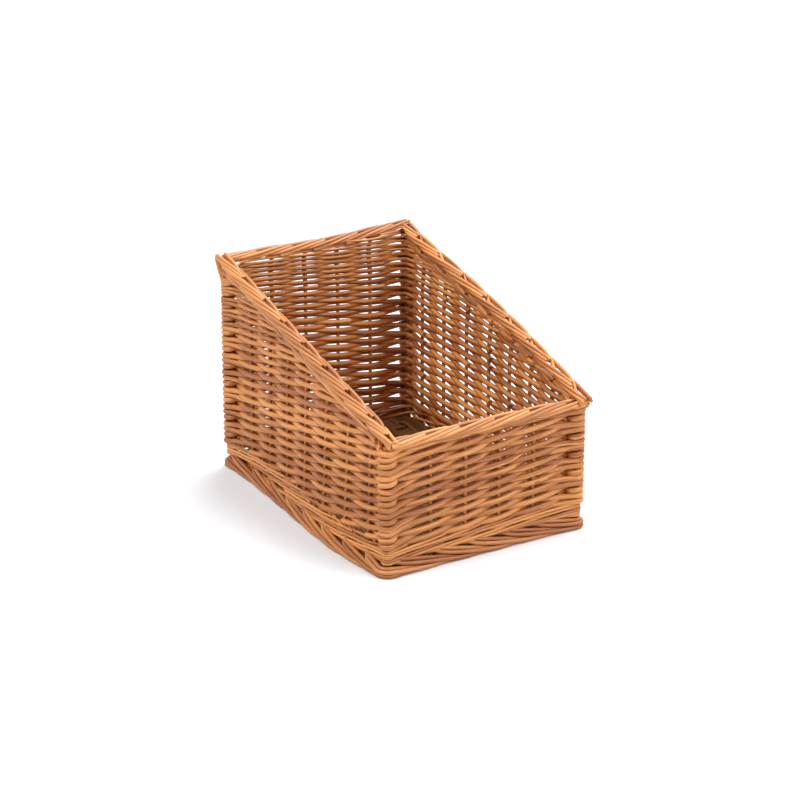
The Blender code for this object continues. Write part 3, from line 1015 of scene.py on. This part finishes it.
class BASKET_OT_borders(bpy.types.Operator):
    """Set up the stakes and bend them over into the border, wall by wall"""

    bl_idname = "basket.borders"
    bl_label = "Set up the stakes and border"

    def execute(self, context):
        sizes = context.scene.basket_sizes
        ring = Ring(sizes)
        chance = random.Random(sizes.seed + 2)
        material = willow(context, "peeled_border", tone_shift=0.16, coat=0.25)
        for edge in EDGES:
            rods = border_rods(ring, edge, chance)
            name = edge.name + "_stakes_and_border"
            piece = sweep_rods(context, name, rods, sizes.border_radius, material,
                               sides=10, steps=3, waver=0.0005)
            nodes = nodes_named(edge.name + "_stake_", edge.name + "_border_rod_")
            if edge.start.past > TUCK:
                nodes.append("back_left_post")
            finish_piece(piece, nodes)
        return {"FINISHED"}


# A corner post's lower end, and how far under the rim each one ends
POST_FOOT = 0.006
POST_DROPS = ((FRONT_LEFT, 0.010), (FRONT_RIGHT, 0.010), (BACK_RIGHT, 0.010),
              (BACK_LEFT, 0.024))


class BASKET_OT_posts(bpy.types.Operator):
    """Stand the corner posts"""

    bl_idname = "basket.posts"
    bl_label = "Stand the corner posts"

    def execute(self, context):
        sizes = context.scene.basket_sizes
        ring = Ring(sizes, sizes.corner_outset)
        rods = []
        for index, drop in POST_DROPS:
            post = ring.upright(index).place
            heights = rising(POST_FOOT, ring.rim(post) - drop)
            rods.append(with_girth([post + Vector((0, 0, height)) for height in heights]))
        material = willow(context, "peeled_post", tone_shift=0.05, coat=0.3)
        piece = sweep_rods(context, "corner_posts", rods, sizes.post_radius, material, sides=12)
        finish_piece(piece,
                     ["front_left_post", "front_right_post", "back_right_post"])
        return {"FINISHED"}


# Foot border

# Along a foot rod: intervals from its upright, share of the outset, share of its height
FOOT_COURSE = (
    (-0.04, 0.00, 1.00),
    (0.12, 0.30, 0.88),
    (0.35, 0.70, 0.74),
    (0.70, 0.90, 0.56),
    (1.10, 1.00, 0.36),
    (1.50, 1.02, 0.17),
    (1.90, 0.98, 0.04),
    (2.30, 0.80, 0.00),
    (2.70, 0.42, 0.00),
    (3.00, 0.00, 0.00),
    (3.25, -0.34, 0.12),
    (3.70, -0.50, 0.48),
    (4.20, -0.50, 0.86),
)
FOOT_RISE = 0.0160
# Share of the outset that the foot has at each corner, by its number along the ring
FOOT_SHARES = ((FRONT_LEFT, 1.0), (FRONT_RIGHT, 0.66), (BACK_RIGHT, 0.66), (BACK_LEFT, 0.58),
               (FULL_TURN, 1.0))
# The rods of a pair lie side by side on the ground and turn to lie one over the other: how
# much of the one is lost, and how fast the other grows, with their height
BESIDE_LOSS = 0.6
OVER_GAIN = 1.6


def foot_outset(ring, place):
    """How far the foot stands out at a place along the ring."""
    return ring.sizes.foot_outset * between(FOOT_SHARES, place % ring.count)[0]


class BASKET_OT_foot(bpy.types.Operator):
    """Work the foot border: a rod from each upright down and along the ground"""

    bl_idname = "basket.foot"
    bl_label = "Work the foot border"

    def execute(self, context):
        sizes = context.scene.basket_sizes
        ring = Ring(sizes, sizes.corner_outset)
        chance = random.Random(sizes.seed + 3)
        radius = sizes.foot_radius
        rods = []
        for index in range(ring.count):
            for side in (1, -1):
                apart = side * PAIR_SHARE * radius
                stations = []
                for ahead, out, level in FOOT_COURSE:
                    beside = apart * (1 - BESIDE_LOSS * level)
                    below = apart * min(1.0, OVER_GAIN * level)
                    place = index + ahead
                    stations.append((place, out * foot_outset(ring, place) + beside,
                                     radius + level * FOOT_RISE - below))
                points = ring.follow(stations)
                rods.append(with_girth(points, 1.0, chance.uniform(0.85, 1.0)))
        material = willow(context, "peeled_foot", tone_shift=-0.2, coat=0.3)
        piece = sweep_rods(context, "foot_border", rods, radius, material, steps=3, waver=0.0007)
        finish_piece(piece, nodes_named("_foot_border"))
        return {"FINISHED"}


# Floor

FLOOR_BANDS = 12
FLOOR_BAND_RODS = 5
FLOOR_INSET = 0.0068
FLOOR_END_GAP = 0.002
FLOOR_LEVEL = 0.0185
# Share of their stand-off that the floor's rods keep where they cross the sticks
FLOOR_PRESS = 0.85


def floor_point(ring, across, place, height):
    """Point of the floor at a share of half its width, which follows the walls' bow."""
    point = Vector((0, place, height))
    out = ring.sizes.post_span_width / 2 - FLOOR_INSET
    point.x = across * (out + ring.bow(point, across, height))
    return point


def floor_rod(ring, number, places):
    """Points of a floor rod, level at both ends and over and under the sticks between."""
    across = (number + 0.5) * 2 / (FLOOR_BANDS * FLOOR_BAND_RODS) - 1
    band = number // FLOOR_BAND_RODS
    reach = FLOOR_PRESS * (ring.sizes.stick_radius + ring.sizes.floor_rod_radius)
    points = [floor_point(ring, across, places[0], FLOOR_LEVEL)]
    for order in range(1, len(places)):
        side = -1 if (band + order) % 2 else 1
        if order == len(places) - 1:
            side = 0
        middle = (places[order - 1] + places[order]) / 2
        points.append(floor_point(ring, across, middle, FLOOR_LEVEL))
        points.append(floor_point(ring, across, places[order], FLOOR_LEVEL + side * reach))
    return points


class BASKET_OT_floor(bpy.types.Operator):
    """Lay the floor sticks and weave the fine rods over and under them"""

    bl_idname = "basket.floor"
    bl_label = "Weave the floor"

    def execute(self, context):
        sizes = context.scene.basket_sizes
        ring = Ring(sizes)
        chance = random.Random(sizes.seed + 4)
        half_depth = sizes.post_span_depth / 2
        stick_places = [share * half_depth for share in SIDE_SHARES]
        sticks = []
        for place in stick_places:
            points = [floor_point(ring, step / 3, place, FLOOR_LEVEL) for step in range(-3, 4)]
            sticks.append(with_girth(points))
        # Painted shade: the sticks' pale and deep colours are darkened to half, standing in for
        # the shade on the basket's floor
        material = willow(context, "peeled_floor_stick", tone_shift=-0.1, coat=0.1, shade=0.5)
        piece = sweep_rods(context, "floor_sticks", sticks, sizes.stick_radius, material)
        finish_piece(piece, nodes_named("floor_stick_"))

        end = half_depth - FLOOR_END_GAP
        rods = []
        for number in range(FLOOR_BANDS * FLOOR_BAND_RODS):
            points = floor_rod(ring, number, [-end, *stick_places, end])
            rods.append(with_girth(points, 1.0, chance.uniform(0.85, 1.0), chance))
        # Painted shade: the floor rods' pale and deep colours are darkened to a third, standing in
        # for the shade on the basket's floor
        material = willow(context, "peeled_floor", tone_shift=-0.1, coat=0.1, shade=0.33)
        piece = sweep_rods(context, "floor_weave_rods", rods, sizes.floor_rod_radius, material,
                           steps=3)
        finish_piece(piece, ["floor_weave"])
        return {"FINISHED"}


# Stage

CAMERA_AZIMUTH = math.radians(-31.2593)
CAMERA_ELEVATION = math.radians(20.9421)
CAMERA_DISTANCE = 2.937
CAMERA_LENS = 108.0
CAMERA_SENSOR = 36.0
CAMERA_FARTHEST = 50.0
TARGET_HEIGHT = 0.112
TARGET_SHIFT = (0.00215, 0.01316)

WHITE = (1.0, 1.0, 1.0, 1.0)
PAPER_REACH = 4.0
PAPER_GLOW = 0.03
ROOM_LIGHT = 0.07
# Suns, each with its way, its angle in degrees and its strength
SUNS = (("left_softbox", (-0.7, 0.1, 1.0), 45, 2.8), ("right_softbox", (0.5, 0.2, 1.0), 40, 2.6))
LAMP_PLACE = Vector((1.1, -2.0, 2.1))
LAMP_TARGET = Vector((0, 0, 0.12))
LAMP_SIZE = 2.2
LAMP_POWER = 62.0


def place_item(context, data, place, back):
    """A camera or light at a place, with its back turned this way."""
    item = bpy.data.objects.new(data.name, data)
    context.scene.collection.objects.link(item)
    item.location = place
    item.rotation_euler = back.to_track_quat("Z", "Y").to_euler()
    return item


def place_camera(context):
    back = Vector((math.sin(CAMERA_AZIMUTH) * math.cos(CAMERA_ELEVATION),
                   -math.cos(CAMERA_AZIMUTH) * math.cos(CAMERA_ELEVATION),
                   math.sin(CAMERA_ELEVATION)))
    right = Vector((math.cos(CAMERA_AZIMUTH), math.sin(CAMERA_AZIMUTH), 0))
    up = back.cross(right)
    camera = bpy.data.cameras.new("camera")
    camera.lens = CAMERA_LENS
    camera.sensor_width = CAMERA_SENSOR
    camera.clip_end = CAMERA_FARTHEST
    target = Vector((0, 0, TARGET_HEIGHT)) + right * TARGET_SHIFT[0] + up * TARGET_SHIFT[1]
    place = target + back * CAMERA_DISTANCE
    context.scene.camera = place_item(context, camera, place, back)


def place_lights(context):
    """Two broad suns and a large round lamp in front, on the right."""
    for name, way, angle, strength in SUNS:
        sun = bpy.data.lights.new(name, "SUN")
        sun.angle = math.radians(angle)
        sun.energy = strength
        place_item(context, sun, (0, 0, 0), Vector(way))
    lamp = bpy.data.lights.new("front_softbox", "AREA")
    lamp.shape = "DISK"
    lamp.size = LAMP_SIZE
    lamp.energy = LAMP_POWER
    place_item(context, lamp, LAMP_PLACE, LAMP_PLACE - LAMP_TARGET)


def camera_sees(tree):
    """1 for rays from the camera and for those seen in gloss or through glass."""
    path = add_node(tree, "ShaderNodeLightPath")
    seen = math_node(tree, "MAXIMUM", path["Is Camera Ray"], path["Is Glossy Ray"])
    return math_node(tree, "MAXIMUM", seen, path["Is Transmission Ray"])


def light_world(context):
    """A white room that gives little light."""
    world = bpy.data.worlds.new("studio")
    world.use_nodes = True
    context.scene.world = world
    tree = world.node_tree
    strength = weighted_sum(tree, ROOM_LIGHT, (camera_sees(tree), 1.0 - ROOM_LIGHT))
    fill_inputs(tree, tree.nodes["Background"], {"Color": WHITE, "Strength": strength})


def lay_paper(context):
    """The pale floor under the basket."""
    mesh = bpy.data.meshes.new("stage_floor")
    corners = [(x * PAPER_REACH, y * PAPER_REACH, 0)
               for x, y in ((-1, -1), (1, -1), (1, 1), (-1, 1))]
    mesh.from_pydata(corners, [], [(0, 1, 2, 3)])
    floor = bpy.data.objects.new("stage_floor", mesh)
    context.scene.collection.objects.link(floor)
    material = bpy.data.materials.new("stage_paper")
    material.use_nodes = True
    tree = material.node_tree
    glow = math_node(tree, "MULTIPLY", camera_sees(tree), PAPER_GLOW)
    fill_inputs(tree, tree.nodes["Principled BSDF"], {
        "Base Color": rgba(context.scene.basket_colours.stage), "Roughness": 0.9,
        "Emission Color": WHITE, "Emission Strength": glow})
    mesh.materials.append(material)


class BASKET_OT_stage(bpy.types.Operator):
    """Put down the pale floor, the studio light and the camera"""

    bl_idname = "basket.stage"
    bl_label = "Set the stage"

    def execute(self, context):
        lay_paper(context)
        light_world(context)
        place_lights(context)
        place_camera(context)
        context.scene.view_settings.view_transform = "Standard"
        return {"FINISHED"}


# Add-on

class BASKET_PT_panel(bpy.types.Panel):
    """Sizes, colours and steps of the basket"""

    bl_label = "Willow basket"
    bl_idname = "BASKET_PT_panel"
    bl_space_type = "VIEW_3D"
    bl_region_type = "UI"
    bl_category = "Basket"

    def draw(self, context):
        for group in (context.scene.basket_sizes, context.scene.basket_colours):
            box = self.layout.box()
            for name in group.__annotations__:
                box.prop(group, name)
        for step in STEPS:
            self.layout.operator(step.bl_idname)


STEPS = (BASKET_OT_randing, BASKET_OT_waling, BASKET_OT_borders, BASKET_OT_posts,
         BASKET_OT_foot, BASKET_OT_floor, BASKET_OT_stage)
CLASSES = (BasketSizes, BasketColours, *STEPS, BASKET_PT_panel)


def register():
    for item in CLASSES:
        bpy.utils.register_class(item)
    bpy.types.Scene.basket_sizes = PointerProperty(type=BasketSizes)
    bpy.types.Scene.basket_colours = PointerProperty(type=BasketColours)


def unregister():
    del bpy.types.Scene.basket_colours
    del bpy.types.Scene.basket_sizes
    for item in reversed(CLASSES):
        bpy.utils.unregister_class(item)


def main():
    register()
    bpy.ops.basket.randing()
    bpy.ops.basket.waling()
    bpy.ops.basket.borders()
    bpy.ops.basket.posts()
    bpy.ops.basket.foot()
    bpy.ops.basket.floor()
    bpy.ops.basket.stage()


if __name__ == "__main__":
    main()
